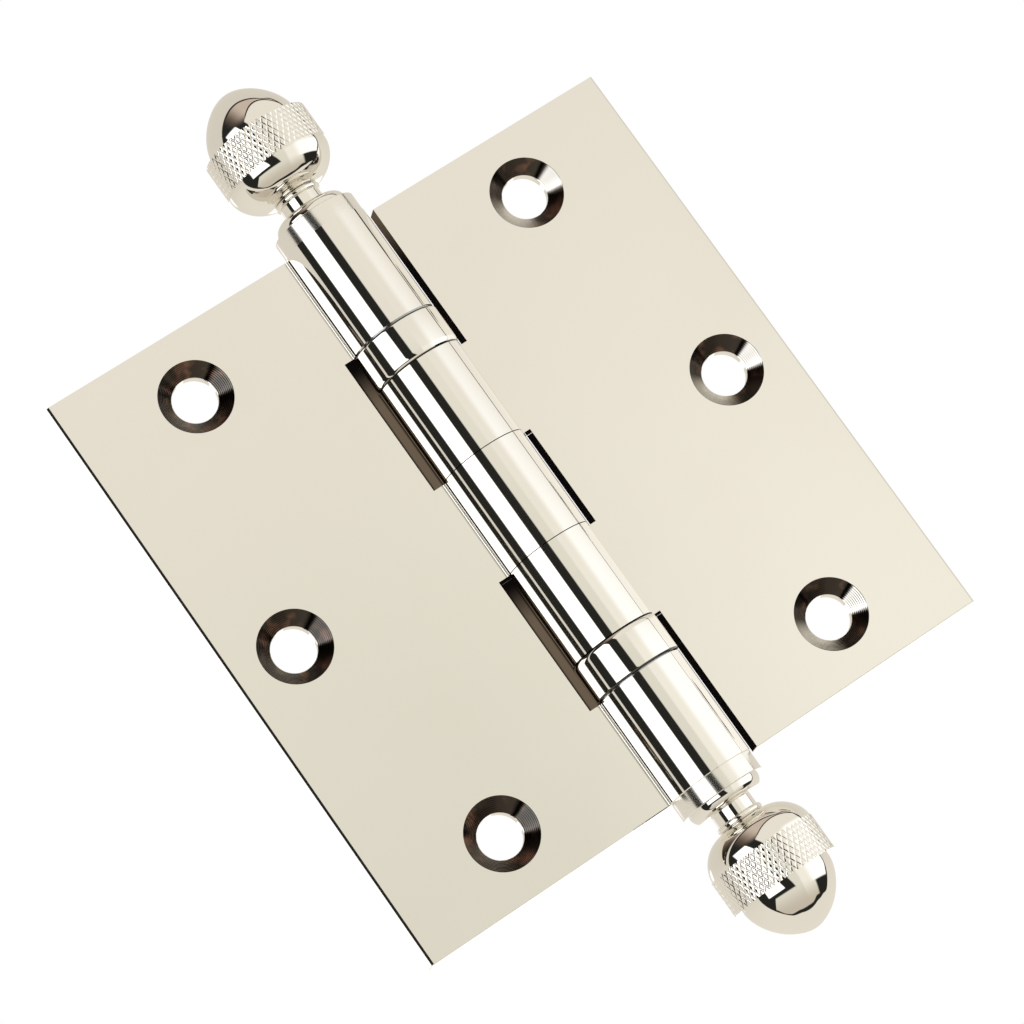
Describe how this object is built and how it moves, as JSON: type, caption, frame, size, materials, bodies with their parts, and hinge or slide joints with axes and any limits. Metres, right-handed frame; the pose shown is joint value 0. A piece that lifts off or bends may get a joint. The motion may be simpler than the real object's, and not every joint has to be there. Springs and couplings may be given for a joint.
{
  "type": "ball bearing hinge",
  "caption": "Square-cornered butt hinge with interleaved knuckles on a pin, ball bearings between the knuckles, countersunk screw holes and acorn finials with a knurled band.",
  "frame": {"origin": "on the pin's axis, half-way up the barrel, which is the centre of the part open flat", "axes": "+Z along the pin, +X from the jamb leaf to the door leaf, -Y out of the countersunk fronts of the leaves"},
  "size_m": [0.0888, 0.0158, 0.1366],
  "materials": {
    "nickel_plated_brass": "polished nickel plate",
    "nickel_plated_steel": "polished nickel plate",
    "ground_steel": "ground"
  },
  "bodies": {
    "jamb_side": {"jamb_leaf": "nickel_plated_brass", "hinge_pin": "ground_steel", "acorn_finials": "nickel_plated_brass", "upper_bearing_race": "ground_steel", "lower_bearing_race": "ground_steel"},
    "door_side": {"door_leaf": "nickel_plated_brass", "upper_bearing_cup": "nickel_plated_steel", "lower_bearing_cup": "nickel_plated_steel"},
    "upper_balls": {"upper_ball_1": "ground_steel", "upper_ball_2": "ground_steel", "upper_ball_3": "ground_steel", "upper_ball_4": "ground_steel", "upper_ball_5": "ground_steel", "upper_ball_6": "ground_steel", "upper_ball_7": "ground_steel", "upper_ball_8": "ground_steel", "upper_ball_9": "ground_steel", "upper_ball_10": "ground_steel", "upper_ball_11": "ground_steel"},
    "lower_balls": {"lower_ball_1": "ground_steel", "lower_ball_2": "ground_steel", "lower_ball_3": "ground_steel", "lower_ball_4": "ground_steel", "lower_ball_5": "ground_steel", "lower_ball_6": "ground_steel", "lower_ball_7": "ground_steel", "lower_ball_8": "ground_steel", "lower_ball_9": "ground_steel", "lower_ball_10": "ground_steel", "lower_ball_11": "ground_steel"}
  },
  "joints": [
    {"name": "leaf_swing", "type": "hinge", "parent": "jamb_side", "child": "door_side", "pos_m": [0, 0, 0], "axis": [0, 0, -1], "range_deg": [-110, 180]},
    {"name": "upper_ball_roll", "type": "hinge", "parent": "jamb_side", "child": "upper_balls", "pos_m": [0, 0, 0], "axis": [0, 0, -1], "range_deg": [-55, 90]},
    {"name": "lower_ball_roll", "type": "hinge", "parent": "jamb_side", "child": "lower_balls", "pos_m": [0, 0, 0], "axis": [0, 0, -1], "range_deg": [-55, 90]}
  ],
  "couplings": [
    {"joint": "upper_ball_roll", "follows": "leaf_swing", "ratio": 0.5},
    {"joint": "lower_ball_roll", "follows": "leaf_swing", "ratio": 0.5}
  ]
}
